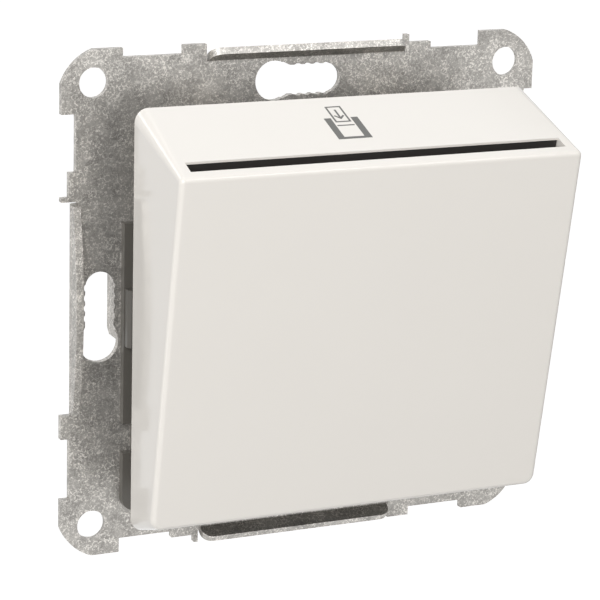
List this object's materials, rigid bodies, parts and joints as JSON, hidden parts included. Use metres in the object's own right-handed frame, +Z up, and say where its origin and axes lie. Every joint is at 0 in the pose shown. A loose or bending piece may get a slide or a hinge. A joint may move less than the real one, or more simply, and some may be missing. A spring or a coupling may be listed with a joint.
{
  "type": "hotel key card switch",
  "caption": "Flush wall insert on a square steel support plate; a wedge-shaped cover with a top slot takes a key card, which tips a sprung lever that works a changeover switch.",
  "frame": {"origin": "middle of the support plate's back face, which lies on the wall", "axes": "+X to the right seen from the room, +Y into the wall, +Z up"},
  "size_m": [0.071, 0.0472, 0.071],
  "materials": {
    "plate_steel": "galvanised sheet, satin",
    "insert_plastic": "dark grey moulded, fine texture",
    "guide_plastic": "dark grey moulded",
    "cover_plastic": "warm white, glossy",
    "lever_plastic": "natural white, smooth",
    "plunger_plastic": "red, smooth",
    "switch_plastic": "black moulded",
    "housing_plastic": "dark grey moulded, fine texture",
    "pin_steel": "ground",
    "spring_steel": "bright drawn",
    "screw_steel": "zinc plated",
    "contact_brass": "stamped",
    "spring_bronze": "rolled spring strip",
    "contact_silver": "silver contact metal",
    "terminal_brass": "drawn bar, sawn"
  },
  "bodies": {
    "support": {"mounting_plate": "plate_steel", "insert_base": "insert_plastic", "card_guide": "guide_plastic", "guide_screws": "screw_steel", "card_springs": "spring_steel", "cover": "cover_plastic", "pivot_pin": "pin_steel", "lever_spring": "spring_steel", "switch_case": "switch_plastic", "switch_lid": "switch_plastic", "switch_screws": "screw_steel", "open_contact": "contact_brass", "closed_contact": "contact_brass", "common_contact": "contact_brass", "fixed_rivets": "contact_silver", "link_open": "contact_brass", "link_closed": "contact_brass", "link_common": "contact_brass", "terminal_blocks": "terminal_brass", "terminal_screws": "screw_steel", "rear_housing": "housing_plastic", "housing_screws": "screw_steel"},
    "lever": {"card_lever": "lever_plastic"},
    "plunger": {"switch_plunger": "plunger_plastic"},
    "blade": {"contact_blade": "spring_bronze", "blade_rivet": "contact_silver"}
  },
  "joints": [
    {"name": "lever_hinge", "type": "hinge", "parent": "support", "child": "lever", "pos_m": [0, -0.011, -0.019], "axis": [1, 0, 0], "range_deg": [0, 14], "stiffness_Nm_per_rad": 0.01, "springref_deg": -11.46, "deforming": ["lever_spring"]},
    {"name": "plunger_slide", "type": "slide", "parent": "support", "child": "plunger", "axis": [0, 0, 1], "range_m": [0, 0.0014]},
    {"name": "blade_hinge", "type": "hinge", "parent": "support", "child": "blade", "pos_m": [0.008, -0.0056, -0.0118], "axis": [0, 1, 0], "range_deg": [0, 7.5]}
  ],
  "couplings": [
    {"joint": "plunger_slide", "follows": "lever_hinge", "m_per_rad": 0.00535},
    {"joint": "blade_hinge", "follows": "lever_hinge", "ratio": 0.5095}
  ]
}
